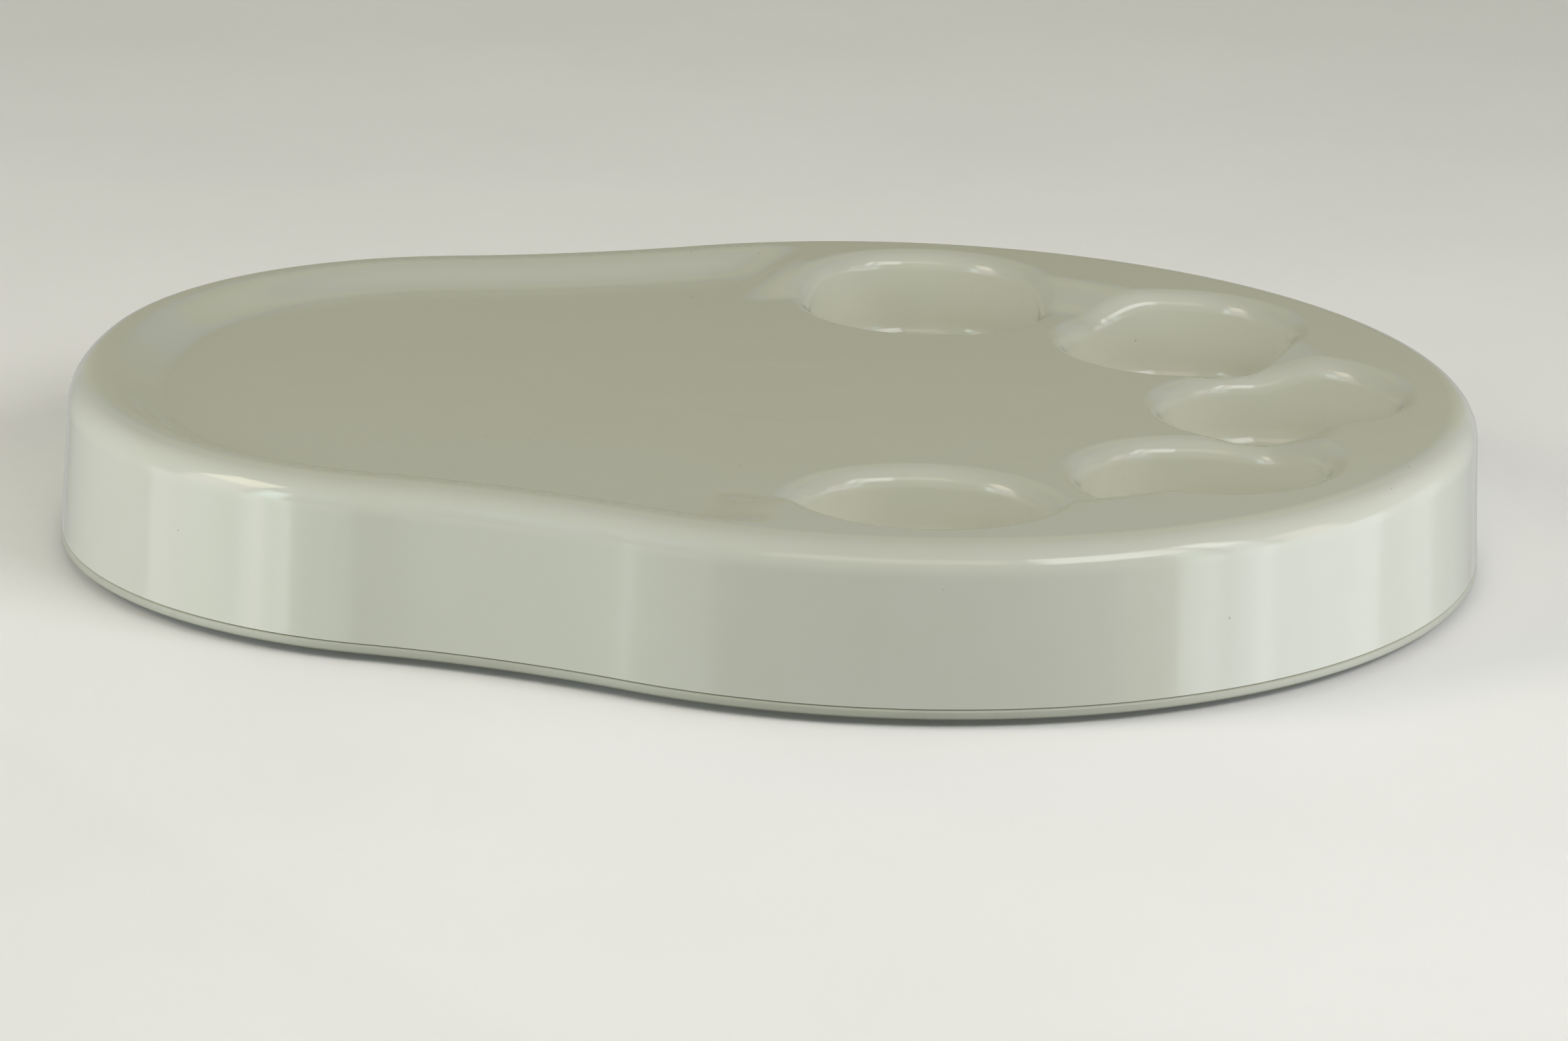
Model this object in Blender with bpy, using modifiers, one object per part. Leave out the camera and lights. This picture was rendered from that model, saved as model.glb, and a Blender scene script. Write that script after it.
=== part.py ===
"""Tabletop mixing palette: a hollow moulded palette with a mixing tray and five round paint wells.

Metres, +Z up.  The origin is on the surface that the palette stands on, at the centre of its length.
The narrow end is at -X and the wide end, with the wells, is at +X.
"""

import math

import bmesh
import bpy
import numpy as np
from mathutils import Vector
from mathutils.geometry import delaunay_2d_cdt

# Outline in plan, at the bottom of the skirt: tangent arcs, mirrored across the X axis.
LENGTH = 0.450
WIDE_RADIUS = 0.1855
NOSE_RADIUS = 0.223
CORNER_RADIUS = 0.1295
CORNER_Y = 0.017
WAIST_RADIUS = 0.330
WIDE_X = LENGTH / 2 - WIDE_RADIUS

# Heights above the surface that the feet stand on.
GAP = 0.0003
FOOT_HEIGHT = 0.0025
PLATE_BOTTOM = FOOT_HEIGHT + GAP
PLATE_THICKNESS = 0.003
PLATE_ROUNDING = 0.0009
PLATE_TOP = PLATE_BOTTOM + PLATE_THICKNESS
SKIRT_BOTTOM = PLATE_TOP + GAP
DECK_Z = PLATE_BOTTOM + 0.051

# Moulded top shell.
SHEET = 0.002
DRAFT = 0.06
EDGE_RADIUS = 0.010
TRAY_DEPTH = 0.007
TRAY_WALL = 0.018
TRAY_INSET = 0.024
TRAY_Z = DECK_Z - TRAY_DEPTH
LAND_RADIUS = 0.133
LAND_X = WIDE_X - 0.045
LAND_CORNER = 0.012
LAND_BLEND = 0.010
LAND_EASE = 0.8

# Paint wells, on a circle about the centre of the wide end.
WELL_CIRCLE = 0.121
WELL_ANGLES = (-86.0, -40.0, 0.0, 40.0, 86.0)
WELL_RADII = (0.0395, 0.0375, 0.0375, 0.0375, 0.0395)
WELL_DEPTH = 0.033
WELL_DRAFT = 0.0012
WELL_FILLET = 0.010
LIP_RADIUS = 0.0065
WELL_FLOOR_Z = DECK_Z - WELL_DEPTH

# Support ring under the middle of the tray.
RING_RADIUS = 0.032
RING_WALL = 0.003
RING_X = 0.002

# Posts, screws and feet: (x, y) of each stack, on the +Y side.
POST_RADIUS = 0.007
POST_INSET = 0.018
POST_WIDE_ANGLES = (20.0, 63.0)
POST_NARROW = (-0.165, 0.070)
PILOT_RADIUS = 0.0019
PILOT_DEPTH = 0.012
SCREW_RADIUS = 0.0016
SCREW_LENGTH = 0.011
HEAD_RADIUS = 0.0034
HEAD_HEIGHT = 0.0020
HEAD_RIM = 0.0003
FOOT_RADIUS = 0.0075
FOOT_CHAMFER = 0.0006

# Mesh density: stations round a loop, points along an arc, and where the guide points lie.
OUTLINE_STATIONS = 84
WELL_STATIONS = 28
TURN_STEPS = 24
EDGE_POINTS = 5
FILLET_POINTS = 4
LIP_RINGS = (0.12, 0.45, 1.0)
WALL_RINGS = (-0.5, -0.2, 0.2, 0.5)
WALL_GRID = 0.006
WALL_REACH = 0.6
GUIDE_MARGIN = 1.2
SADDLE_SPAN = (0.090, 0.1395)
SADDLE_POINTS = 9
SMOOTH_ANGLE = math.radians(35)
MERGE_DISTANCE = 0.00001
ANGLE_TOLERANCE = 0.000001


def outline_arcs():
    """The arcs of the +Y half, from the wide tip round to the narrow tip.

    Each is (centre x, centre y, radius, first angle, last angle, side), where side is 1 on an arc
    that bulges outwards and -1 on the hollow waist.
    """
    nose_x = -LENGTH / 2 + NOSE_RADIUS
    corner_x = nose_x - math.sqrt((NOSE_RADIUS - CORNER_RADIUS) ** 2 - CORNER_Y ** 2)
    wide = Vector((WIDE_X, 0.0))
    corner = Vector((corner_x, CORNER_Y))
    to_wide = wide - corner
    span = to_wide.length
    from_corner = CORNER_RADIUS + WAIST_RADIUS
    from_wide = WIDE_RADIUS + WAIST_RADIUS
    along = (from_corner ** 2 - from_wide ** 2 + span ** 2) / (2 * span)
    out = math.sqrt(from_corner ** 2 - along ** 2)
    axis = to_wide / span
    waist = corner + axis * along + Vector((-axis.y, axis.x)) * out
    wide_end = math.atan2(waist.y, waist.x - wide.x)
    corner_start = math.atan2(waist.y - corner.y, waist.x - corner.x)
    nose_start = math.atan2(corner.y, corner.x - nose_x)
    return [
        (wide.x, 0.0, WIDE_RADIUS, 0.0, wide_end, 1),
        (waist.x, waist.y, WAIST_RADIUS, wide_end + math.pi, corner_start + math.pi, -1),
        (corner.x, corner.y, CORNER_RADIUS, corner_start, nose_start, 1),
        (nose_x, 0.0, NOSE_RADIUS, nose_start, math.pi, 1),
    ]


ARCS = outline_arcs()


def outline_stations(count):
    """Evenly spaced points round the outline, and their outward normals, as two (count, 2) arrays."""
    lengths = [radius * abs(last - first) for _, _, radius, first, last, _ in ARCS]
    points = []
    normals = []
    for distance in np.linspace(0.0, sum(lengths), count // 2 + 1):
        index = 0
        while index < len(ARCS) - 1 and distance > lengths[index]:
            distance -= lengths[index]
            index += 1
        centre_x, centre_y, radius, first, last, side = ARCS[index]
        angle = first + (last - first) * distance / lengths[index]
        ray = np.array([math.cos(angle), math.sin(angle)])
        points.append(np.array([centre_x, centre_y]) + radius * ray)
        normals.append(side * ray)
    flip = np.array([1.0, -1.0])
    points += [point * flip for point in points[-2:0:-1]]
    normals += [normal * flip for normal in normals[-2:0:-1]]
    return np.array(points), np.array(normals)


def inside_distance(x, y):
    """Distance in from the outline, for points inside it."""
    nearest = np.full(np.shape(x), LENGTH)
    for centre_x, centre_y, radius, first, last, side in ARCS:
        across = x - centre_x
        up = np.abs(y) - centre_y
        angle = np.arctan2(up, across)
        if side < 0:
            angle = np.mod(angle, 2 * math.pi)
        low, high = sorted((first, last))
        on_arc = (angle >= low - ANGLE_TOLERANCE) & (angle <= high + ANGLE_TOLERANCE)
        distance = side * (radius - np.hypot(across, up))
        nearest = np.where(on_arc, np.minimum(nearest, distance), nearest)
    return nearest


def smooth_min(a, b, width):
    blend = np.clip(width - np.abs(a - b), 0.0, width) / width
    return np.minimum(a, b) - blend ** 2 * width / 4


def place_wells():
    """(x, y, radius) of each well."""
    wells = []
    for degrees, radius in zip(WELL_ANGLES, WELL_RADII):
        angle = math.radians(degrees)
        wells.append((WIDE_X + WELL_CIRCLE * math.cos(angle), WELL_CIRCLE * math.sin(angle), radius))
    return wells


WELLS = place_wells()


def distance_from_land(x, y):
    """Distance into the tray from the middle of the wall of the raised land round the wells.

    It is scaled down, which makes this wall gentler than the wall along the rim.
    """
    from_arc = LAND_RADIUS - np.hypot(x - WIDE_X, y)
    return -LAND_EASE * smooth_min(-from_arc, x - LAND_X, LAND_CORNER)


def tray_height(x, y):
    """Height of the deck and the tray, before the wells: an S-shaped wall joins the two levels."""
    from_rim = inside_distance(x, y) - TRAY_INSET
    inside = smooth_min(from_rim, distance_from_land(x, y), LAND_BLEND)
    step = np.clip(inside / TRAY_WALL + 0.5, 0.0, 1.0)
    return DECK_Z - TRAY_DEPTH * step ** 2 * (3 - 2 * step)


def top_height(x, y):
    """Height of the moulded top outside the wells, with each well's rounded lip."""
    lost = np.zeros(np.shape(x))
    for centre_x, centre_y, radius in WELLS:
        gap = np.hypot(x - centre_x, y - centre_y) - radius
        lost = lost + np.clip(LIP_RADIUS - gap, 0.0, LIP_RADIUS) ** 2
    drop = LIP_RADIUS - np.sqrt(np.maximum(LIP_RADIUS ** 2 - lost, 0.0))
    return tray_height(x, y) - drop


def clear_of_wells(point, margin, besides=None):
    """Whether a point is further than margin from every well, or from every well besides one."""
    x, y = point
    others = [well for well in WELLS if well is not besides]
    return all(math.hypot(x - well_x, y - well_y) > radius + margin for well_x, well_y, radius in others)


class Plan:
    """Points and guide edges in plan, triangulated together by the Delaunay routine."""

    def __init__(self):
        self.points = []
        self.edges = []

    def add_point(self, point):
        self.points.append(Vector((float(point[0]), float(point[1]))))
        return len(self.points) - 1

    def add_loop(self, points):
        """Add a closed loop with guide edges."""
        loop = [self.add_point(point) for point in points]
        self.edges += zip(loop, loop[1:] + loop[:1])
        return loop

    def add_open_loop(self, points, margin, besides=None):
        """Add a loop, broken where it comes within margin of the wells."""
        kept = [clear_of_wells(point, margin, besides) for point in points]
        loop = [self.add_point(point) if keep else None for point, keep in zip(points, kept)]
        for first, second in zip(loop, loop[1:] + loop[:1]):
            if first is not None and second is not None:
                self.edges.append((first, second))

    def triangulate(self, loops):
        """Triangles between the loops, and each loop's vertices in the result."""
        verts, _, faces, origins, _, _ = delaunay_2d_cdt(self.points, self.edges, [], 0, MERGE_DISTANCE)
        where = {old: new for new, olds in enumerate(origins) for old in olds}
        rings = [[where[index] for index in loop] for loop in loops]
        edges = [set(ring) for ring in rings]
        kept = [face for face in faces if not any(set(face) <= edge for edge in edges)]
        return np.array([tuple(vert) for vert in verts]), kept, rings


def circle(x, y, radius, count):
    angles = np.arange(count) * 2 * math.pi / count
    return [(x + radius * math.cos(a), y + radius * math.sin(a)) for a in angles]


def skirt_profile():
    """(inset, height) pairs up the skirt and round its top edge."""
    slope = math.atan(DRAFT)
    centre_z = DECK_Z - EDGE_RADIUS
    turn_z = centre_z + EDGE_RADIUS * math.sin(slope)
    turn_inset = DRAFT * (turn_z - PLATE_BOTTOM)
    centre_inset = turn_inset + EDGE_RADIUS * math.cos(slope)
    profile = [(DRAFT * (SKIRT_BOTTOM - PLATE_BOTTOM), SKIRT_BOTTOM)]
    for angle in np.linspace(slope, math.pi / 2, EDGE_POINTS):
        inset = centre_inset - EDGE_RADIUS * math.cos(angle)
        profile.append((inset, centre_z + EDGE_RADIUS * math.sin(angle)))
    return profile


def well_profile(well_radius):
    """(radius, height) pairs down a well, from the foot of its straight wall to its flat floor."""
    centre = well_radius - WELL_DRAFT - WELL_FILLET
    profile = []
    for angle in np.linspace(0.0, math.pi / 2, FILLET_POINTS):
        height = WELL_FLOOR_Z + WELL_FILLET * (1 - math.sin(angle))
        profile.append((centre + WELL_FILLET * math.cos(angle), height))
    return profile


def top_plan(rim_inset):
    """The plan of everything inside the rounded top edge, and its closed loops."""
    points, normals = outline_stations(OUTLINE_STATIONS)
    plan = Plan()
    loops = [plan.add_loop(points - normals * rim_inset)]
    for x, y, radius in WELLS:
        loops.append(plan.add_loop(circle(x, y, radius, WELL_STATIONS)))
    for fraction in LIP_RINGS:
        reach = LIP_RADIUS * fraction
        for well in WELLS:
            x, y, radius = well
            ring = circle(x, y, radius + reach, WELL_STATIONS)
            plan.add_open_loop(ring, reach * GUIDE_MARGIN, besides=well)
    for fraction in WALL_RINGS:
        inset = TRAY_INSET + TRAY_WALL * fraction
        plan.add_open_loop(points - normals * inset, LIP_RADIUS * GUIDE_MARGIN)
    for point in saddle_points() + land_wall_points():
        plan.add_point(point)
    return plan, loops


def saddle_points():
    """Points along the ridge between each well and the next."""
    points = []
    for first, second in zip(WELL_ANGLES, WELL_ANGLES[1:]):
        angle = math.radians((first + second) / 2)
        for reach in np.linspace(*SADDLE_SPAN, SADDLE_POINTS):
            points.append((WIDE_X + reach * math.cos(angle), reach * math.sin(angle)))
    return points


def land_wall_points():
    """A grid of points over the wall round the land, between the wells and out to the rim."""
    points = []
    for x in np.arange(LAND_X - TRAY_WALL, WIDE_X + LAND_RADIUS, WALL_GRID):
        for y in np.arange(WALL_GRID / 2, WIDE_RADIUS - TRAY_INSET, WALL_GRID):
            on_wall = abs(distance_from_land(x, y)) < TRAY_WALL * WALL_REACH
            inside_rim = inside_distance(x, y) > TRAY_INSET
            if on_wall and inside_rim and clear_of_wells((x, y), LIP_RADIUS * GUIDE_MARGIN):
                points += [(x, y), (x, -y)]
    return points


def bridge(mesh, ring, points):
    """Extend the surface from a ring of vertices to a new ring at the given points."""
    new_ring = [mesh.verts.new(point) for point in points]
    for index, vert in enumerate(ring):
        after = (index + 1) % len(ring)
        mesh.faces.new((vert, ring[after], new_ring[after], new_ring[index]))
    return new_ring


def make_shell(collection, material):
    """The top shell: its outer surface, thickened inwards to the moulded sheet."""
    profile = skirt_profile()
    rim_inset, _ = profile[-1]
    plan, loops = top_plan(rim_inset)
    places, triangles, rings = plan.triangulate(loops)
    heights = top_height(places[:, 0], places[:, 1])
    mesh = bmesh.new()
    verts = [mesh.verts.new((x, y, z)) for (x, y), z in zip(places, heights)]
    for triangle in triangles:
        mesh.faces.new([verts[index] for index in triangle])
    points, normals = outline_stations(OUTLINE_STATIONS)
    ring = [verts[index] for index in reversed(rings[0])]
    for inset, height in reversed(profile[:-1]):
        spots = (points - normals * inset)[::-1]
        ring = bridge(mesh, ring, [(x, y, height) for x, y in spots])
    for (well_x, well_y, well_radius), loop in zip(WELLS, rings[1:]):
        ring = [verts[index] for index in loop]
        for radius, height in well_profile(well_radius):
            spots = circle(well_x, well_y, radius, WELL_STATIONS)
            ring = bridge(mesh, ring, [(x, y, height) for x, y in spots])
        mesh.faces.new(ring)
    shell = add_object("top_shell", mesh, collection, material)
    skin = shell.modifiers.new("sheet", "SOLIDIFY")
    skin.thickness = SHEET
    skin.offset = -1.0
    return shell


def add_object(name, mesh, collection, material):
    """Make an object from a bmesh, shaded smooth with its real edges kept sharp."""
    data = bpy.data.meshes.new(name)
    mesh.to_mesh(data)
    mesh.free()
    data.shade_smooth()
    data.set_sharp_from_angle(angle=SMOOTH_ANGLE)
    data.materials.append(material)
    piece = bpy.data.objects.new(name, data)
    collection.objects.link(piece)
    return piece


def turned(name, profile, collection, material, closed=False):
    """A solid of revolution about Z, from (radius, height) points listed down its outer side."""
    mesh = bmesh.new()
    verts = [mesh.verts.new((radius, 0.0, height)) for radius, height in profile]
    for first, second in zip(verts, verts[1:]):
        mesh.edges.new((first, second))
    if closed:
        mesh.edges.new((verts[-1], verts[0]))
    piece = add_object(name, mesh, collection, material)
    screw = piece.modifiers.new("turn", "SCREW")
    screw.steps = TURN_STEPS
    screw.render_steps = TURN_STEPS
    screw.use_merge_vertices = True
    screw.merge_threshold = MERGE_DISTANCE
    return piece


def evaluated_mesh(piece):
    """A piece's finished mesh, with its doubled vertices welded."""
    bpy.context.view_layer.update()
    graph = bpy.context.evaluated_depsgraph_get()
    data = bpy.data.meshes.new_from_object(piece.evaluated_get(graph), depsgraph=graph)
    mesh = bmesh.new()
    mesh.from_mesh(data)
    bmesh.ops.remove_doubles(mesh, verts=mesh.verts, dist=MERGE_DISTANCE)
    mesh.to_mesh(data)
    mesh.free()
    return data


def stack_places():
    """(x, y, underside of the top there) of each post, its screw and its foot."""
    deck_under = DECK_Z - SHEET
    tray_under = TRAY_Z - SHEET
    reach = WIDE_RADIUS - POST_INSET
    places = []
    for side in (1, -1):
        for angle in np.radians(POST_WIDE_ANGLES):
            spot = (WIDE_X + reach * math.cos(angle), side * reach * math.sin(angle))
            places.append((*spot, deck_under))
        places.append((POST_NARROW[0], side * POST_NARROW[1], tray_under))
    return places


def countersink(grow, top, low):
    """Profile of a countersunk screw from top down to low; grow widens it into its clearance hole."""
    head_z = PLATE_BOTTOM + GAP
    neck_z = head_z + HEAD_HEIGHT
    head = HEAD_RADIUS + grow
    shank = SCREW_RADIUS + grow
    return [(0.0, top), (shank, top), (shank, neck_z), (head, head_z + HEAD_RIM), (head, low), (0.0, low)]


def make_plate(collection, cutters, material):
    """The base plate: the outline as a flat sheet with rounded edges and countersunk holes."""
    curve = bpy.data.curves.new("base_plate_outline", "CURVE")
    curve.dimensions = "2D"
    curve.fill_mode = "BOTH"
    curve.extrude = PLATE_THICKNESS / 2 - PLATE_ROUNDING
    curve.bevel_depth = PLATE_ROUNDING
    curve.bevel_resolution = 1
    curve.offset = -PLATE_ROUNDING
    points, _ = outline_stations(OUTLINE_STATIONS)
    spline = curve.splines.new("POLY")
    spline.points.add(len(points) - 1)
    for spot, (x, y) in zip(spline.points, points):
        spot.co = (x, y, 0.0, 1.0)
    spline.use_cyclic_u = True
    outline = bpy.data.objects.new("base_plate_outline", curve)
    outline.location.z = PLATE_BOTTOM + PLATE_THICKNESS / 2
    collection.objects.link(outline)
    data = evaluated_mesh(outline)
    data.name = "base_plate"
    data.materials.clear()
    data.materials.append(material)
    plate = bpy.data.objects.new("base_plate", data)
    plate.matrix_world = outline.matrix_world
    collection.objects.link(plate)
    bpy.data.objects.remove(outline)
    hole_profile = countersink(GAP, PLATE_TOP + GAP, PLATE_BOTTOM - GAP)
    for number, (x, y, _) in enumerate(stack_places(), 1):
        cutter = turned(f"screw_hole_{number}", hole_profile, cutters, material)
        cutter.location = (x, y, 0.0)
        cutter.display_type = "WIRE"
        cutter.hide_render = True
        hole = plate.modifiers.new(cutter.name, "BOOLEAN")
        hole.operation = "DIFFERENCE"
        hole.solver = "EXACT"
        hole.object = cutter
    return plate


def make_ring(collection, material):
    """The ring bonded between the middle of the tray and the base plate."""
    inner = RING_RADIUS - RING_WALL
    top = TRAY_Z - SHEET - GAP
    profile = [(RING_RADIUS, top), (RING_RADIUS, SKIRT_BOTTOM), (inner, SKIRT_BOTTOM), (inner, top)]
    ring = turned("support_ring", profile, collection, material, closed=True)
    ring.location.x = RING_X
    return ring


def make_posts(collection, material):
    """The posts that hold the top and the plate together, each with a pilot hole from below."""
    for number, (x, y, under) in enumerate(stack_places(), 1):
        top = under - GAP
        hole = SKIRT_BOTTOM + PILOT_DEPTH
        profile = [(0.0, top), (POST_RADIUS, top), (POST_RADIUS, SKIRT_BOTTOM)]
        profile += [(PILOT_RADIUS, SKIRT_BOTTOM), (PILOT_RADIUS, hole), (0.0, hole)]
        post = turned(f"support_post_{number}", profile, collection, material)
        post.location = (x, y, 0.0)


def make_copies(name, profile, collection, material):
    """One turned piece at the foot of each post, sharing a mesh."""
    shared = None
    for number, (x, y, _) in enumerate(stack_places(), 1):
        piece = turned(f"{name}_{number}", profile, collection, material)
        shared = shared or piece.data
        piece.data = shared
        piece.location = (x, y, 0.0)


def make_screws(collection, material):
    """The countersunk screws that hold the plate to the posts."""
    profile = countersink(0.0, PLATE_BOTTOM + SCREW_LENGTH, PLATE_BOTTOM + GAP)
    make_copies("screw", profile, collection, material)


def make_feet(collection, material):
    """The stick-on feet, each over a screw head."""
    profile = [(0.0, FOOT_HEIGHT), (FOOT_RADIUS, FOOT_HEIGHT), (FOOT_RADIUS, FOOT_CHAMFER)]
    profile += [(FOOT_RADIUS - FOOT_CHAMFER, 0.0), (0.0, 0.0)]
    make_copies("foot", profile, collection, material)


def make_material(name, colour, roughness, metallic=0.0):
    material = bpy.data.materials.new(name)
    material.use_nodes = True
    shader = material.node_tree.nodes["Principled BSDF"]
    shader.inputs["Base Color"].default_value = (*colour, 1.0)
    shader.inputs["Roughness"].default_value = roughness
    shader.inputs["Metallic"].default_value = metallic
    return material


def main():
    for old in list(bpy.data.objects):
        bpy.data.objects.remove(old)
    palette = bpy.data.collections.new("mixing_palette")
    cutters = bpy.data.collections.new("cutters")
    for collection in (palette, cutters):
        bpy.context.scene.collection.children.link(collection)
    make_shell(palette, make_material("cream_gloss", (0.72, 0.72, 0.63), 0.15))
    make_plate(palette, cutters, make_material("cream_satin", (0.68, 0.68, 0.59), 0.35))
    make_ring(palette, make_material("ring_plastic", (0.80, 0.80, 0.76), 0.45))
    make_posts(palette, make_material("post_plastic", (0.74, 0.74, 0.70), 0.45))
    make_screws(palette, make_material("zinc_steel", (0.62, 0.62, 0.60), 0.35, 1.0))
    make_feet(palette, make_material("grey_rubber", (0.10, 0.10, 0.10), 0.85))


main()
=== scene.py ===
"""Looks for the tabletop mixing palette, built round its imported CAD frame.

The moulded top, the base plate and the feet are made again here with finer meshes on the same
formulas and sizes as the CAD.  The hidden screws, posts and ring keep their CAD meshes.
"""

import math

import bmesh
import bpy
import numpy as np
from mathutils import Matrix, Vector
from mathutils.geometry import delaunay_2d_cdt


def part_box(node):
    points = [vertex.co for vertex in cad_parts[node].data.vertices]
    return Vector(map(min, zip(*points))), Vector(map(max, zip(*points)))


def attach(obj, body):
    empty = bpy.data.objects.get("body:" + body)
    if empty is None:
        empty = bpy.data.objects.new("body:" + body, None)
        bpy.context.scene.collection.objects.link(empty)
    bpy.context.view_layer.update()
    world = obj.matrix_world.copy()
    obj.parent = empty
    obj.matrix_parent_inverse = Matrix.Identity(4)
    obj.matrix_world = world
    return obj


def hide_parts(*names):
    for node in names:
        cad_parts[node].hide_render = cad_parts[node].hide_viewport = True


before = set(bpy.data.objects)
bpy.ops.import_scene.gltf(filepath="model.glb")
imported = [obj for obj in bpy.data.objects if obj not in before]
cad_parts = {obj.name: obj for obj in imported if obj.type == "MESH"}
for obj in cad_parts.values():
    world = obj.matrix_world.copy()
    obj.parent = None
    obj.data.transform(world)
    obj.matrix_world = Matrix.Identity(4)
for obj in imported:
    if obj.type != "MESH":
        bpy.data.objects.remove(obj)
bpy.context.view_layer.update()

# Outline in plan, at the bottom of the skirt: tangent arcs, mirrored across the X axis.
LENGTH = 0.450
WIDE_RADIUS = 0.1855
NOSE_RADIUS = 0.223
CORNER_RADIUS = 0.1295
CORNER_Y = 0.017
WAIST_RADIUS = 0.330
WIDE_X = LENGTH / 2 - WIDE_RADIUS

# Heights above the surface that the feet stand on.
FOOT_HEIGHT = 0.0025
PLATE_BOTTOM = 0.0028
PLATE_TOP = 0.0058
SKIRT_BOTTOM = 0.0061
DECK_Z = 0.0538

# Moulded top shell.
SHEET = 0.002
DRAFT = 0.06
EDGE_RADIUS = 0.010
TRAY_DEPTH = 0.007
TRAY_WALL = 0.018
TRAY_INSET = 0.024
LAND_RADIUS = 0.133
LAND_X = WIDE_X - 0.045
LAND_CORNER = 0.012
LAND_BLEND = 0.010
LAND_EASE = 0.8
WELL_CIRCLE = 0.121
WELL_ANGLES = (-86.0, -40.0, 0.0, 40.0, 86.0)
WELL_RADII = (0.0395, 0.0375, 0.0375, 0.0375, 0.0395)
WELL_DEPTH = 0.033
WELL_DRAFT = 0.0012
WALL_TILT = 0.03
WELL_FILLET = 0.010
WELL_FLOOR_Z = DECK_Z - WELL_DEPTH
LIP_RADIUS = 0.0065

# Faint round mark in the tray, over the support ring.
MARK_X = 0.002
MARK_RADIUS = 0.032
MARK_DEPTH = 0.00010
MARK_WIDTH = 0.0035
MARK_SHARPNESS = 2.5
MARK_REACH = 30

# Feet, each with a shallow dish in its underside.
FOOT_COUNT = 6
FOOT_RADIUS = 0.0075
FOOT_ROUNDING = 0.0006
FOOT_CHAMFER = 0.0002
DISH_RADIUS = 0.0045
DISH_FLOOR_RADIUS = 0.0041
DISH_MIDDLE_RADIUS = 0.0012
DISH_DEPTH = 0.0003

# Base plate: its rounded edges, and its countersunk screw holes.
PLATE_ROUNDING = 0.0009
HOLE_HEAD = 0.0037
HOLE_SHANK = 0.0019
HOLE_RIM_Z = 0.0034
HOLE_NECK_Z = 0.0051

# Mesh density and tolerances.
OUTLINE_STATIONS = 540
WELL_STATIONS = 180
SKIRT_LEVELS = 9
EDGE_STEPS = 14
FILLET_STEPS = 16
LIP_STEPS = 10
LIP_EXTRA_RINGS = 2
LIP_EXTRA_GAP = 0.0012
WELL_CLEARANCE = 0.0002
GRID = 0.0028
PLATE_TURN_LEVELS = 6
FOOT_TURN_LEVELS = 7
HOLE_STATIONS = 48
TURN_STATIONS = 96
SMOOTH_ANGLE = math.radians(30)
ANGLE_TOLERANCE = 1e-6
SLOPE_STEP = 1e-5
MERGE_DISTANCE = 1e-6

# The output mode of delaunay_2d_cdt that keeps only what lies inside the outer loop.
KEEP_INSIDE = 1

# Colours.
CREAM = (0.82, 0.827, 0.715)
CREAM_WARM = (0.81, 0.813, 0.69)
CREAM_PALE = (0.855, 0.865, 0.785)
SPECK = (0.10, 0.09, 0.07)
# The base plate's creams are darker than the top's: partly the plate's own tone, partly painted shade for
# the dark band along the bottom edge.
PLATE_CREAM_AND_SHADE = (0.62, 0.63, 0.53)
PLATE_WARM_AND_SHADE = (0.60, 0.60, 0.49)
GRIME = (0.30, 0.28, 0.22)
RUBBER = (0.035, 0.035, 0.036)
RUBBER_DUSTY = (0.12, 0.115, 0.105)
INNER_WHITE = (0.66, 0.66, 0.62)
INNER_GREY = (0.58, 0.58, 0.54)
ZINC = (0.62, 0.62, 0.60)
ZINC_DULL = (0.46, 0.46, 0.44)
FLOOR = (0.80, 0.80, 0.79)
FLOOR_SHADE = (0.77, 0.77, 0.76)

# Camera and studio.
CAMERA_LENS = 114.36
CAMERA_PLACE = Vector((0.0315, -1.5254, 0.4741))
CAMERA_ANGLES = (1.02, 72.87, 1.69)
WORLD_COLOUR = (1.00, 1.00, 1.00)
WORLD_STRENGTH = 0.050
FLOOR_Z = 0.0
FLOOR_SIZE = 30.0
STUDIO_RADIUS = 1.3
FLOOR_LAMP = 0.46
FLOOR_LAMP_Y = 1.0
FLOOR_LAMP_Z = 3.0
FLOOR_LAMP_SIZE = 4.0

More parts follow.
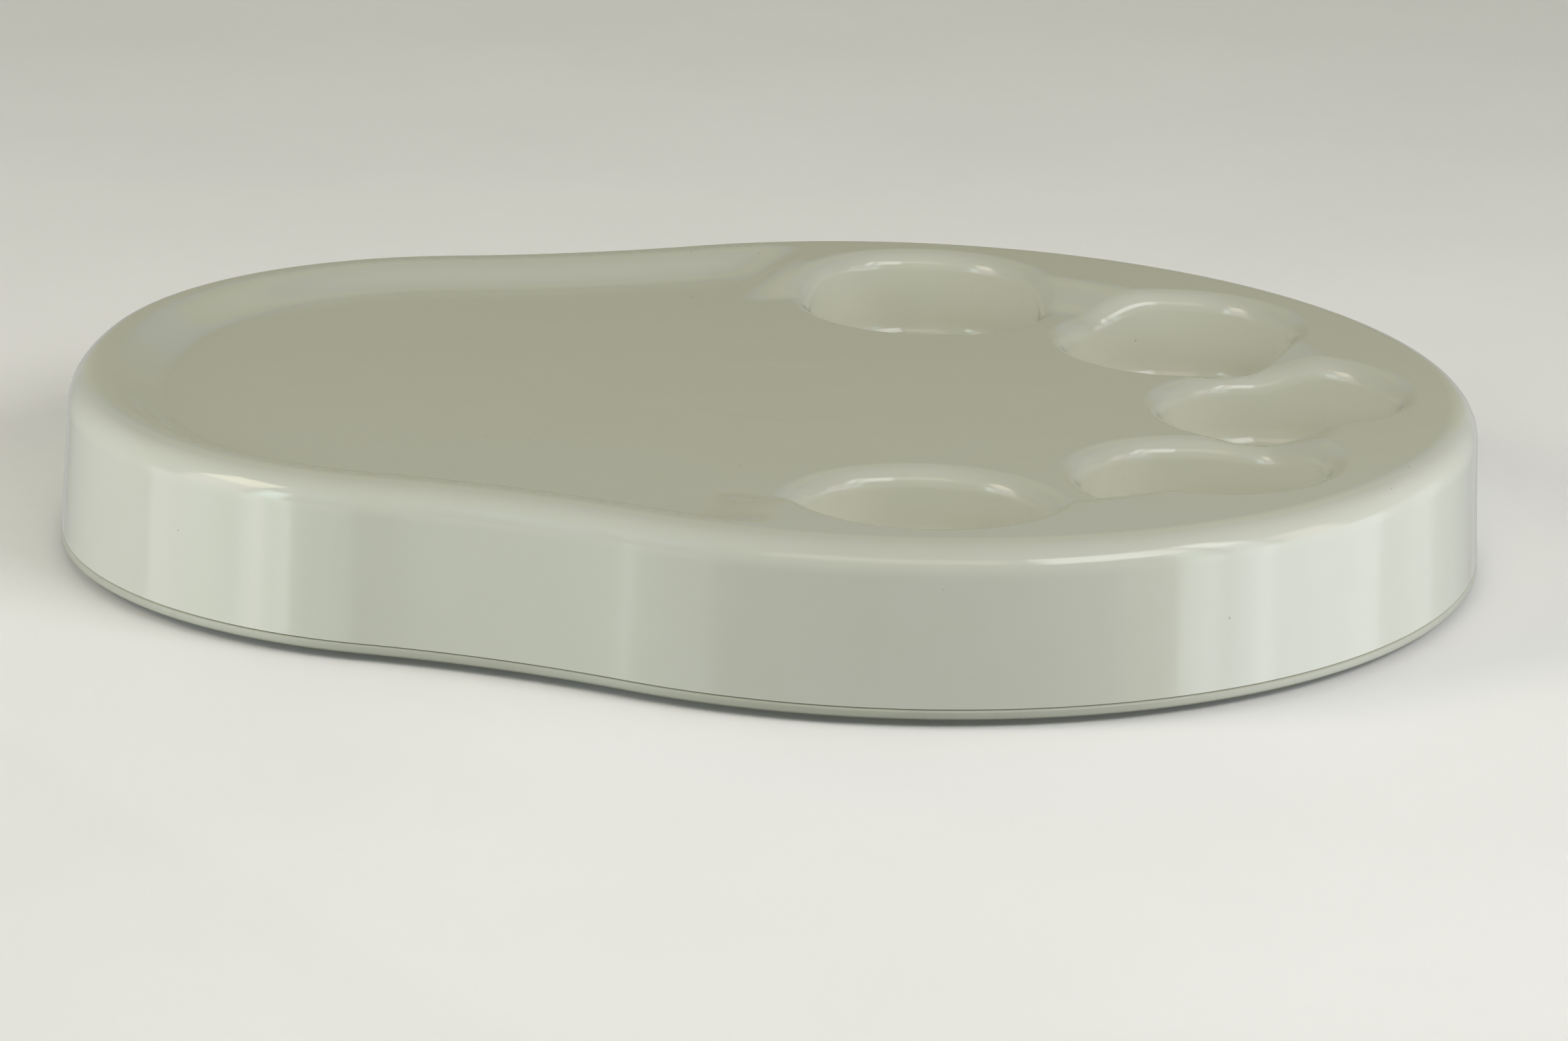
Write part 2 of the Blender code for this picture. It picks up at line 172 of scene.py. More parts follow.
# Upright lights round the studio: name, first and last angle in degrees, low and high edge,
# radiance and colour.  The radiances and colours come from a fit to the photo's tones.
LIGHTS = (
    ("left_low_1", -195.0, -180.0, -0.52, 0.25, 0.27, (1.0, 0.74, 0.95)),
    ("left_low_2", -180.0, -165.0, -0.52, 0.25, 1.32, (0.97, 0.96, 1.0)),
    ("left_low_3", -165.0, -150.0, -0.52, 0.25, 1.77, (0.91, 1.0, 0.95)),
    ("left_low_4", -150.0, -147.3, -0.52, 0.25, 2.86, (0.88, 1.0, 0.96)),
    ("left_low_5", -147.3, -143.3, -0.52, 0.25, 3.40, (1.0, 0.99, 0.97)),
    ("left_low_6", -143.3, -139.3, -0.52, 0.25, 2.59, (0.9, 1.0, 0.93)),
    ("left_low_7", -139.3, -136.05, -0.52, 0.25, 3.18, (0.96, 1.0, 0.96)),
    ("left_low_8", -136.05, -130.2, -0.52, 0.25, 0.80, (0.85, 1.0, 0.82)),
    ("left_low_9", -130.2, -120.0, -0.52, 0.25, 0.74, (0.92, 1.0, 0.89)),
    ("left_mid_1", -170.0, -150.0, 0.25, 0.7, 2.35, (1.0, 0.84, 0.93)),
    ("left_mid_2", -147.3, -139.3, 0.25, 0.7, 5.00, (0.73, 1.0, 1.0)),
    ("left_mid_3", -136.0, -127.5, 0.25, 0.7, 0.23, (0.0, 0.0, 1.0)),
    ("left_top_1", -170.0, -150.0, 0.7, 1.3, 5.00, (1.0, 0.92, 0.74)),
    ("left_top_2", -147.3, -139.3, 0.7, 1.3, 0.61, (0.68, 0.73, 1.0)),
    ("left_top_3", -136.0, -127.5, 0.7, 1.3, 0.97, (0.15, 0.65, 1.0)),
    ("right_low_1", -48.0, -37.0, -0.52, 0.25, 0.46, (0.93, 1.0, 0.49)),
    ("right_low_2", -37.0, -33.0, -0.52, 0.25, 2.83, (0.93, 1.0, 0.97)),
    ("right_low_3", -33.0, -29.0, -0.52, 0.25, 3.22, (0.93, 0.98, 1.0)),
    ("right_low_4", -29.0, -26.0, -0.52, 0.25, 1.81, (0.89, 0.96, 1.0)),
    ("right_low_5", -26.0, -21.7, -0.52, 0.25, 2.62, (0.89, 0.95, 1.0)),
    ("right_low_6", -21.7, -17.5, -0.52, 0.25, 3.62, (0.93, 0.96, 1.0)),
    ("right_low_7", -17.5, -12.0, -0.52, 0.25, 2.36, (0.85, 0.91, 1.0)),
    ("right_low_8", -12.0, -4.0, -0.52, 0.25, 2.25, (0.85, 0.88, 1.0)),
    ("right_low_9", -4.0, 10.0, -0.52, 0.25, 1.82, (0.86, 0.9, 1.0)),
    ("right_low_10", 10.0, 30.0, -0.52, 0.25, 0.48, (0.9, 0.94, 1.0)),
    ("right_mid_1", -37.0, -29.0, 0.25, 0.7, 2.33, (0.71, 1.0, 0.93)),
    ("right_mid_2", -26.0, -17.5, 0.25, 0.7, 2.52, (0.81, 0.82, 1.0)),
    ("right_mid_3", -14.6, 0.0, 0.25, 0.7, 1.94, (1.0, 0.87, 0.86)),
    ("right_top_1", -60.0, -37.0, 0.7, 1.3, 5.00, (1.0, 1.0, 1.0)),
    ("right_top_2", -37.0, -29.0, 0.7, 1.3, 4.12, (1.0, 0.95, 0.92)),
    ("right_top_3", -26.0, -17.5, 0.7, 1.3, 5.00, (1.0, 1.0, 1.0)),
    ("front_high_1", -115.0, -65.0, 0.9, 1.5, 1.60, (1.0, 0.89, 0.71)),
    ("back_wall_1", 20.0, 60.0, -0.52, 0.8, 0.22, (1.0, 1.0, 1.0)),
    ("back_wall_2", 60.0, 120.0, -0.52, 0.1, 0.35, (1.0, 1.0, 1.0)),
    ("back_wall_3", 60.0, 120.0, 0.1, 0.5, 0.30, (1.0, 1.0, 0.55)),
    ("back_wall_4", 60.0, 120.0, 0.5, 0.8, 0.34, (0.82, 1.0, 0.93)),
    ("back_wall_5", 60.0, 120.0, 0.8, 1.6, 0.39, (0.92, 1.0, 0.29)),
    ("back_wall_6", 120.0, 165.0, -0.52, 0.8, 0.22, (1.0, 1.0, 1.0)),
)


def outline_arcs():
    """(centre x, centre y, radius, first angle, last angle, side) of each arc of the +Y half."""
    nose_x = -LENGTH / 2 + NOSE_RADIUS
    corner_x = nose_x - math.sqrt((NOSE_RADIUS - CORNER_RADIUS) ** 2 - CORNER_Y ** 2)
    wide = Vector((WIDE_X, 0.0))
    corner = Vector((corner_x, CORNER_Y))
    to_wide = wide - corner
    span = to_wide.length
    from_corner = CORNER_RADIUS + WAIST_RADIUS
    from_wide = WIDE_RADIUS + WAIST_RADIUS
    along = (from_corner ** 2 - from_wide ** 2 + span ** 2) / (2 * span)
    out = math.sqrt(from_corner ** 2 - along ** 2)
    axis = to_wide / span
    waist = corner + axis * along + Vector((-axis.y, axis.x)) * out
    wide_end = math.atan2(waist.y, waist.x - wide.x)
    corner_start = math.atan2(waist.y - corner.y, waist.x - corner.x)
    nose_start = math.atan2(corner.y, corner.x - nose_x)
    return [
        (wide.x, 0.0, WIDE_RADIUS, 0.0, wide_end, 1),
        (waist.x, waist.y, WAIST_RADIUS, wide_end + math.pi, corner_start + math.pi, -1),
        (corner.x, corner.y, CORNER_RADIUS, corner_start, nose_start, 1),
        (nose_x, 0.0, NOSE_RADIUS, nose_start, math.pi, 1),
    ]


ARCS = outline_arcs()


def outline_stations(count):
    """Evenly spaced points round the outline, and their outward normals."""
    lengths = [radius * abs(last - first) for _, _, radius, first, last, _ in ARCS]
    points = []
    normals = []
    for distance in np.linspace(0.0, sum(lengths), count // 2 + 1):
        index = 0
        while index < len(ARCS) - 1 and distance > lengths[index]:
            distance -= lengths[index]
            index += 1
        centre_x, centre_y, radius, first, last, side = ARCS[index]
        angle = first + (last - first) * distance / lengths[index]
        ray = np.array([math.cos(angle), math.sin(angle)])
        points.append(np.array([centre_x, centre_y]) + radius * ray)
        normals.append(side * ray)
    flip = np.array([1.0, -1.0])
    points += [point * flip for point in points[-2:0:-1]]
    normals += [normal * flip for normal in normals[-2:0:-1]]
    return np.array(points), np.array(normals)


def inside_distance(x, y):
    """Distance in from the outline, for points inside it."""
    nearest = np.full(np.shape(x), LENGTH)
    for centre_x, centre_y, radius, first, last, side in ARCS:
        across = x - centre_x
        up = np.abs(y) - centre_y
        angle = np.arctan2(up, across)
        if side < 0:
            angle = np.mod(angle, 2 * math.pi)
        low, high = sorted((first, last))
        on_arc = (angle >= low - ANGLE_TOLERANCE) & (angle <= high + ANGLE_TOLERANCE)
        distance = side * (radius - np.hypot(across, up))
        nearest = np.where(on_arc, np.minimum(nearest, distance), nearest)
    return nearest


def smooth_min(a, b, width):
    """The smaller of two values, blended where they differ by less than a width."""
    blend = np.clip(width - np.abs(a - b), 0.0, width) / width
    return np.minimum(a, b) - blend ** 2 * width / 4


def place_wells():
    """(x, y, radius) of each well, on a circle round the wide end's centre."""
    wells = []
    for degrees, radius in zip(WELL_ANGLES, WELL_RADII):
        angle = math.radians(degrees)
        wells.append((WIDE_X + WELL_CIRCLE * math.cos(angle), WELL_CIRCLE * math.sin(angle), radius))
    return wells


WELLS = place_wells()


def tray_height(x, y):
    """Height of the deck and the tray, before the wells."""
    from_rim = inside_distance(x, y) - TRAY_INSET
    from_arc = LAND_RADIUS - np.hypot(x - WIDE_X, y)
    from_land = -LAND_EASE * smooth_min(-from_arc, x - LAND_X, LAND_CORNER)
    inside = smooth_min(from_rim, from_land, LAND_BLEND)
    step = np.clip(inside / TRAY_WALL + 0.5, 0.0, 1.0)
    height = DECK_Z - TRAY_DEPTH * step ** 2 * (3 - 2 * step)
    from_mark = (np.hypot(x - MARK_X, y) - MARK_RADIUS) / MARK_WIDTH
    falloff = np.exp(np.clip(MARK_SHARPNESS * from_mark, -MARK_REACH, MARK_REACH))
    return height - MARK_DEPTH / (1.0 + falloff)


def lip_terms(x, y):
    """For the rounded lips: the drop's root, and its outward pull in x and y."""
    lost = np.zeros(np.shape(x))
    pull_x = np.zeros(np.shape(x))
    pull_y = np.zeros(np.shape(x))
    for centre_x, centre_y, radius in WELLS:
        away = np.hypot(x - centre_x, y - centre_y)
        reach = np.clip(LIP_RADIUS - (away - radius), 0.0, LIP_RADIUS)
        lost = lost + reach ** 2
        pull_x = pull_x + reach * (x - centre_x) / away
        pull_y = pull_y + reach * (y - centre_y) / away
    return np.sqrt(np.maximum(LIP_RADIUS ** 2 - lost, 0.0)), pull_x, pull_y


def top_height(x, y):
    """Height of the moulded top, with the wells' rounded lips."""
    root, _, _ = lip_terms(x, y)
    return tray_height(x, y) - (LIP_RADIUS - root)


def top_normals(x, y):
    """Unit normals of the moulded top, worked out from the height formulas."""
    step = SLOPE_STEP
    slope_x = (tray_height(x + step, y) - tray_height(x - step, y)) / (2 * step)
    slope_y = (tray_height(x, y + step) - tray_height(x, y - step)) / (2 * step)
    root, pull_x, pull_y = lip_terms(x, y)
    normals = np.stack([-slope_x * root - pull_x, -slope_y * root - pull_y, root], axis=1)
    return normals / np.linalg.norm(normals, axis=1)[:, None]


class Surface:
    """Points with their normals, and the faces between them."""

    def __init__(self):
        self.points = []
        self.normals = []
        self.faces = []

    def add(self, points, normals):
        """Add rows of points, and return their indices."""
        first = sum(len(block) for block in self.points)
        self.points.append(np.asarray(points, float))
        self.normals.append(np.asarray(normals, float))
        return list(range(first, first + len(points)))

    def bridge(self, ring, new_ring):
        """Join two rings of the same length with a band of faces."""
        count = len(ring)
        for index in range(count):
            after = (index + 1) % count
            self.faces.append((ring[index], ring[after], new_ring[after], new_ring[index]))

    def extend(self, ring, points, normals):
        """Add a ring of points, bridge it from the last ring, and return it."""
        new_ring = self.add(points, normals)
        self.bridge(ring, new_ring)
        return new_ring


def raised(plan, heights):
    """Plan points or rays with a third part, one for all of them or one each."""
    return np.column_stack([plan, np.broadcast_to(heights, len(plan))])


def circle(x, y, radius, count):
    """Evenly spaced plan points round a circle."""
    angles = np.arange(count) * 2 * math.pi / count
    return np.stack([x + radius * np.cos(angles), y + radius * np.sin(angles)], axis=1)


def gap_to_wells(points, besides=None):
    """Distance from each point to the nearest well's wall, leaving one well out."""
    gaps = [np.hypot(points[:, 0] - x, points[:, 1] - y) - radius
            for x, y, radius in WELLS if (x, y, radius) != besides]
    return np.min(gaps, axis=0)


def top_plan(rim_inset):
    """The plan points of the top: the closed loops first, then what lies between them."""
    points, normals = outline_stations(OUTLINE_STATIONS)
    loops = [points - normals * rim_inset]
    loops += [circle(x, y, radius, WELL_STATIONS) for x, y, radius in WELLS]
    inner = []
    for well in WELLS:
        x, y, radius = well
        for number in range(1, LIP_STEPS + LIP_EXTRA_RINGS + 1):
            gap = LIP_RADIUS * (1 - math.cos(min(number / LIP_STEPS, 1.0) * math.pi / 2))
            gap += max(number - LIP_STEPS, 0) * LIP_EXTRA_GAP
            ring = circle(x, y, radius + gap, WELL_STATIONS)
            if number % 2:
                ring = circle(x, y, radius + gap, WELL_STATIONS * 2)[1::2]
            inner.append(ring[gap_to_wells(ring, besides=well) > gap + WELL_CLEARANCE])
    edge = LIP_RADIUS + LIP_EXTRA_RINGS * LIP_EXTRA_GAP
    across = np.arange(-LENGTH / 2, LENGTH / 2, GRID)
    up = np.arange(0.0, WIDE_RADIUS, GRID * math.sqrt(3) / 2)
    for row, y in enumerate(up):
        line = np.stack([across + GRID / 2 * (row % 2), np.full(len(across), y)], axis=1)
        for side in (1, -1) if row else (1,):
            spots = line * np.array([1.0, side])
            reach = inside_distance(spots[:, 0], spots[:, 1])
            clear = gap_to_wells(spots) > edge + GRID * 0.5
            inner.append(spots[(reach > rim_inset + GRID * 0.5) & (reach < LENGTH / 2) & clear])
    return loops, np.concatenate(inner)


def in_outline(points):
    """Whether points are inside the outline, by the half-width at their x."""
    stations, _ = outline_stations(OUTLINE_STATIONS)
    half = stations[:OUTLINE_STATIONS // 2 + 1]
    width = np.interp(points[:, 0], half[::-1, 0], half[::-1, 1])
    return np.abs(points[:, 1]) < width


def skirt_profile():
    """(inset, height, tilt of the normal) up the skirt and round its top edge."""
    slope = math.atan(DRAFT)
    centre_z = DECK_Z - EDGE_RADIUS
    turn_z = centre_z + EDGE_RADIUS * math.sin(slope)
    turn_inset = DRAFT * (turn_z - PLATE_BOTTOM)
    centre_inset = turn_inset + EDGE_RADIUS * math.cos(slope)
    profile = []
    for height in np.linspace(SKIRT_BOTTOM, turn_z, SKIRT_LEVELS)[:-1]:
        profile.append((DRAFT * (height - PLATE_BOTTOM), height, slope))
    for angle in np.linspace(slope, math.pi / 2, EDGE_STEPS + 1):
        inset = centre_inset - EDGE_RADIUS * math.cos(angle)
        profile.append((inset, centre_z + EDGE_RADIUS * math.sin(angle), angle))
    return profile


def well_rings(surface, well, loop):
    """The wall, fillet and floor of a well, from its top loop down."""
    x, y, radius = well
    rays = circle(0.0, 0.0, 1.0, WELL_STATIONS)
    top = top_height(*(np.array([x, y]) + rays * radius).T)
    centre = radius - WELL_DRAFT - WELL_FILLET
    wall_foot = WELL_FLOOR_Z + WELL_FILLET
    ring = loop
    for share in (1 / 3, 2 / 3):
        spots = np.array([x, y]) + rays * (radius - WELL_DRAFT * share)
        heights = top + (wall_foot - top) * share
        ring = surface.extend(ring, raised(spots, heights), raised(-rays, WALL_TILT))
    for number in range(FILLET_STEPS + 1):
        angle = number / FILLET_STEPS * math.pi / 2
        spots = np.array([x, y]) + rays * (centre + WELL_FILLET * math.cos(angle))
        height = WELL_FLOOR_Z + WELL_FILLET * (1 - math.sin(angle))
        inward = raised(-rays * math.cos(angle), math.sin(angle))
        ring = surface.extend(ring, raised(spots, height), inward)
    for share in (0.75, 0.5, 0.25):
        spots = np.array([x, y]) + rays * centre * share
        ring = surface.extend(ring, raised(spots, WELL_FLOOR_Z), raised(rays * 0.0, 1.0))
    middle = surface.add([(x, y, WELL_FLOOR_Z)], [(0.0, 0.0, 1.0)])[0]
    for index in range(WELL_STATIONS):
        surface.faces.append((ring[index], ring[(index + 1) % WELL_STATIONS], middle))


def fill_plan(loops, inner):
    """Faces in plan between an outer loop and the holes inside it.

    Returns the points, the faces, and each loop as a ring of point indices.
    """
    edges = []
    starts = np.cumsum([0] + [len(loop) for loop in loops])
    for start, loop in zip(starts, loops):
        count = len(loop)
        edges += [(int(start) + index, int(start) + (index + 1) % count) for index in range(count)]
    plan = [Vector(spot) for spot in np.concatenate(loops + inner)]
    verts, _, faces, origins, _, _ = delaunay_2d_cdt(plan, edges, [], KEEP_INSIDE, MERGE_DISTANCE)
    where = {old: new for new, olds in enumerate(origins) for old in olds}
    rings = [[where[start + index] for index in range(len(loop))] for start, loop in zip(starts, loops)]
    holes = [set(ring) for ring in rings[1:]]
    faces = [face for face in faces if not any(set(face) <= hole for hole in holes)]
    return np.array([tuple(vert) for vert in verts]), faces, rings


def shell_surface():
    """The outer surface of the moulded top, and the ring at the bottom of its skirt."""
    surface = Surface()
    profile = skirt_profile()
    loops, inner = top_plan(profile[-1][0])
    places, faces, rings = fill_plan(loops, [inner[in_outline(inner)]])
    x, y = places.T
    surface.add(raised(places, top_height(x, y)), top_normals(x, y))
    surface.faces += [tuple(face) for face in faces]
    for well, ring in zip(WELLS, rings[1:]):
        well_rings(surface, well, ring)
    points, normals = outline_stations(OUTLINE_STATIONS)
    ring = rings[0][::-1]
    for inset, height, angle in reversed(profile[:-1]):
        spots = (points - normals * inset)[::-1]
        tilted = raised(normals[::-1] * math.cos(angle), math.sin(angle))
        ring = surface.extend(ring, raised(spots, height), tilted)
    return surface, ring


def thicken(name, surface, bottom):
    """A closed sheet from an open surface: its outer skin, an inner skin and a flat rim."""
    points = np.concatenate(surface.points)
    normals = np.concatenate(surface.normals)
    normals = normals / np.linalg.norm(normals, axis=1)[:, None]
    inner = points - normals * SHEET
    inner[bottom, 2] = points[bottom, 2]
    count = len(points)
    faces = list(surface.faces)
    faces += [tuple(index + count for index in reversed(face)) for face in surface.faces]
    rim = []
    for index, vert in enumerate(bottom):
        after = bottom[(index + 1) % len(bottom)]
        rim.append((vert, after, after + count, vert + count))
    mesh = bpy.data.meshes.new(name)
    mesh.from_pydata(np.concatenate([points, inner]).tolist(), [], faces + rim)
    both = np.concatenate([normals, -normals])
    corners = [tuple(both[vert]) for face in faces for vert in face]
    corners += [(0.0, 0.0, -1.0)] * (4 * len(rim))
    mesh.shade_smooth()
    mesh.normals_split_custom_set(corners)
    return mesh


def stack_places():
    """(x, y) of each foot, from its CAD node."""
    places = []
    for number in range(1, FOOT_COUNT + 1):
        low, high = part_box(f"foot_{number}")
        places.append(((low.x + high.x) / 2, (low.y + high.y) / 2))
    return places


def flat_part(surface, outer, holes, height, up):
    """A flat face with holes, at one height. Returns the loops' vertex rings."""
    places, faces, rings = fill_plan([outer] + holes, [])
    top = surface.add(raised(places, height), [(0.0, 0.0, up)] * len(places))
    for face in faces:
        corners = [top[vert] for vert in face]
        surface.faces.append(tuple(corners if up > 0 else reversed(corners)))
    return [[top[vert] for vert in ring] for ring in rings]


def plate_mesh():
    """The base plate: a flat sheet with rounded edges and a countersunk hole over each foot."""
    surface = Surface()
    points, normals = outline_stations(OUTLINE_STATIONS)
    inner = points - normals * PLATE_ROUNDING
    heads = [circle(x, y, HOLE_HEAD, HOLE_STATIONS) for x, y in stack_places()]
    shanks = [circle(x, y, HOLE_SHANK, HOLE_STATIONS) for x, y in stack_places()]
    low_rings = flat_part(surface, inner, heads, PLATE_BOTTOM, -1.0)
    high_rings = flat_part(surface, inner, shanks, PLATE_TOP, 1.0)
    ring = low_rings[0]
    for side, centre_z in ((-1, PLATE_BOTTOM + PLATE_ROUNDING), (1, PLATE_TOP - PLATE_ROUNDING)):
        turn = np.linspace(math.pi / 2, 0.0, PLATE_TURN_LEVELS)
        for angle in turn[1:] if side < 0 else turn[::-1][:-1]:
            spots = inner + normals * PLATE_ROUNDING * math.cos(angle)
            height = centre_z + side * PLATE_ROUNDING * math.sin(angle)
            tilted = raised(normals * math.cos(angle), side * math.sin(angle))
            ring = surface.extend(ring, raised(spots, height), tilted)
    surface.bridge(ring, high_rings[0])
    for (x, y), low_ring, high_ring in zip(stack_places(), low_rings[1:], high_rings[1:]):
        ring = low_ring
        for radius, height in ((HOLE_HEAD, HOLE_RIM_Z), (HOLE_SHANK, HOLE_NECK_Z)):
            spots = circle(x, y, radius, HOLE_STATIONS)
            rays = circle(0.0, 0.0, 1.0, HOLE_STATIONS)
            new_ring = surface.add(raised(spots, height), raised(-rays, 0.0))
            surface.bridge(new_ring, ring)
            ring = new_ring
        surface.bridge(high_ring, ring)
    return surface_mesh("base_plate_fine", surface)


def turned_mesh(name, profile, x, y):
    """A closed solid of revolution about a vertical axis, from (radius, height) down its side."""
    surface = Surface()
    ring = None
    for radius, height in profile:
        spots = circle(x, y, radius, TURN_STATIONS)
        new_ring = surface.add(raised(spots, height), np.zeros((TURN_STATIONS, 3)))
        if ring is not None:
            surface.bridge(new_ring, ring)
        ring = new_ring
    surface.faces.append(tuple(range(TURN_STATIONS)))
    surface.faces.append(tuple(reversed(ring)))
    return surface_mesh(name, surface)


def surface_mesh(name, surface):
    """A mesh with its faces pointing out and its real edges sharp."""
    work = bmesh.new()
    verts = [work.verts.new(point) for point in np.concatenate(surface.points).tolist()]
    for face in surface.faces:
        work.faces.new([verts[index] for index in face])
    bmesh.ops.recalc_face_normals(work, faces=work.faces)
    mesh = bpy.data.meshes.new(name)
    work.to_mesh(mesh)
    work.free()
    mesh.shade_smooth()
    mesh.set_sharp_from_angle(angle=SMOOTH_ANGLE)
    return mesh


def foot_mesh(name, x, y):
    """A foot with a rounded lower edge and a shallow dished underside."""
    profile = [(FOOT_RADIUS - FOOT_CHAMFER, FOOT_HEIGHT), (FOOT_RADIUS, FOOT_HEIGHT - FOOT_CHAMFER)]
    for angle in np.linspace(0.0, math.pi / 2, FOOT_TURN_LEVELS):
        radius = FOOT_RADIUS - FOOT_ROUNDING + FOOT_ROUNDING * math.cos(angle)
        profile.append((radius, FOOT_ROUNDING * (1 - math.sin(angle))))
    profile += [(DISH_RADIUS, 0.0), (DISH_FLOOR_RADIUS, DISH_DEPTH), (DISH_MIDDLE_RADIUS, DISH_DEPTH)]
    return turned_mesh(name, profile, x, y)


def add_piece(mesh, material, slot, *replaced):
    """Place a mesh as a visible piece in the shared frame, over the CAD nodes that it replaces."""
    piece = bpy.data.objects.new(mesh.name, mesh)
    bpy.context.scene.collection.objects.link(piece)
    mesh.materials.append(material)
    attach(piece, "root")
    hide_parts(*replaced)


class Nodes:
    """Short calls for building one material's nodes."""

    def __init__(self, name, colour, roughness, metallic=0.0):
        self.material = bpy.data.materials.new(name)
        self.material.use_nodes = True
        self.tree = self.material.node_tree
        self.shader = self.tree.nodes["Principled BSDF"]
        self.shader.inputs["Base Color"].default_value = (*colour, 1.0)
        self.shader.inputs["Roughness"].default_value = roughness
        self.shader.inputs["Metallic"].default_value = metallic
        self.place = self.tree.nodes.new("ShaderNodeTexCoord").outputs["Object"]
        self.relief = None

    def put(self, value, socket):
        """Link a socket's value in, or set a constant."""
        if isinstance(value, bpy.types.NodeSocket):
            self.tree.links.new(value, socket)
        else:
            socket.default_value = value

    def stretched(self, scale, turn=(0.0, 0.0, 0.0)):
        node = self.tree.nodes.new("ShaderNodeMapping")
        self.put(self.place, node.inputs["Vector"])
        node.inputs["Scale"].default_value = scale
        node.inputs["Rotation"].default_value = turn
        return node.outputs["Vector"]

    def noise(self, scale, detail=2.0, rough=0.5, vector=None):
        node = self.tree.nodes.new("ShaderNodeTexNoise")
        self.put(vector or self.place, node.inputs["Vector"])
        node.inputs["Scale"].default_value = scale
        node.inputs["Detail"].default_value = detail
        node.inputs["Roughness"].default_value = rough
        return node.outputs["Fac"]

    def cells(self, scale):
        """A cell pattern: distance from each cell's middle, and a random colour for each cell."""
        node = self.tree.nodes.new("ShaderNodeTexVoronoi")
        self.put(self.place, node.inputs["Vector"])
        node.inputs["Scale"].default_value = scale
        return node.outputs["Distance"], node.outputs["Color"]

    def span(self, value, low, high, out_low=0.0, out_high=1.0):
        node = self.tree.nodes.new("ShaderNodeMapRange")
        self.put(value, node.inputs["Value"])
        node.inputs["From Min"].default_value = low
        node.inputs["From Max"].default_value = high
        node.inputs["To Min"].default_value = out_low
        node.inputs["To Max"].default_value = out_high
        return node.outputs["Result"]

    def maths(self, operation, first, second):
        node = self.tree.nodes.new("ShaderNodeMath")
        node.operation = operation
        self.put(first, node.inputs[0])
        self.put(second, node.inputs[1])
        return node.outputs["Value"]

    def mix(self, factor, first, second):
        node = self.tree.nodes.new("ShaderNodeMix")
        node.data_type = "RGBA"
        self.put(factor, node.inputs[0])
        self.put(first if isinstance(first, bpy.types.NodeSocket) else (*first, 1.0), node.inputs[6])
        self.put(second if isinstance(second, bpy.types.NodeSocket) else (*second, 1.0), node.inputs[7])
        return node.outputs[2]

    def bump(self, height, distance):
        """Add a layer of relief: height runs 0 to 1 and stands distance metres at 1."""
        node = self.tree.nodes.new("ShaderNodeBump")
        node.inputs["Distance"].default_value = distance
        self.put(height, node.inputs["Height"])
        if self.relief is not None:
            self.put(self.relief, node.inputs["Normal"])
        self.relief = node.outputs["Normal"]

    def finish(self, colour, roughness):
        """Join the colour, the roughness and the relief to the shader."""
        self.put(colour, self.shader.inputs["Base Color"])
        self.put(roughness, self.shader.inputs["Roughness"])
        self.put(self.relief, self.shader.inputs["Normal"])
        return self.material


def specks(nodes, scale, size, share):
    """A mask of small round specks, one in some of the cells."""
    distance, colour = nodes.cells(scale)
    split = nodes.tree.nodes.new("ShaderNodeSeparateColor")
    nodes.put(colour, split.inputs["Color"])
    chosen = nodes.span(split.outputs["Red"], 1.0 - share, 1.0 - share + 0.002)
    return nodes.maths("MULTIPLY", nodes.span(distance, size, size * 0.6), chosen)


def hairlines(nodes, turn, gate_scale):
    """A mask of sparse fine scratches that run one way."""
    lines = nodes.noise(1.0, 1.0, vector=nodes.stretched((9.0, 420.0, 9.0), turn))
    line = nodes.span(nodes.maths("ABSOLUTE", nodes.maths("SUBTRACT", lines, 0.5), 0.0), 0.006, 0.0)
    gate = nodes.span(nodes.noise(gate_scale, 2.0), 0.58, 0.66)
    return nodes.maths("MULTIPLY", line, gate)


def gloss_material():
    """Glossy cream moulded plastic, lightly used: mottled tone, handling marks, dust and hairlines."""
    nodes = Nodes("cream_gloss_plastic", CREAM, 0.14)
    broad = nodes.span(nodes.noise(7.0, 3.0), 0.35, 0.65)
    mottle = nodes.span(nodes.noise(55.0, 4.0, 0.6), 0.3, 0.7)
    tone = nodes.mix(broad, CREAM, CREAM_WARM)
    tone = nodes.mix(nodes.maths("MULTIPLY", mottle, 0.25), tone, CREAM_PALE)
    dust = nodes.maths("MAXIMUM", specks(nodes, 130.0, 0.07, 0.035), specks(nodes, 300.0, 0.10, 0.02))
    tone = nodes.mix(nodes.maths("MULTIPLY", dust, 0.6), tone, SPECK)
    along = hairlines(nodes, (0.0, 0.0, 0.5), 16.0)
    across = hairlines(nodes, (0.2, 0.3, 2.1), 13.0)
    scratches = nodes.maths("MAXIMUM", along, across)
    tone = nodes.mix(nodes.maths("MULTIPLY", scratches, 0.10), tone, CREAM_PALE)
    smears = nodes.span(nodes.noise(14.0, 5.0, 0.65), 0.45, 0.75, 0.0, 0.04)
    rough = nodes.maths("ADD", nodes.span(nodes.noise(180.0, 3.0), 0.3, 0.7, 0.10, 0.13), smears)
    rough = nodes.maths("ADD", rough, nodes.maths("MULTIPLY", scratches, 0.12))
    rough = nodes.maths("ADD", rough, nodes.maths("MULTIPLY", dust, 0.4))
    nodes.bump(nodes.noise(24.0, 1.0), 0.00010)
    nodes.bump(nodes.noise(420.0, 2.0), 0.0000035)
    nodes.bump(dust, 0.00004)
    nodes.bump(nodes.maths("SUBTRACT", 1.0, scratches), 0.000006)
    return nodes.finish(tone, rough)


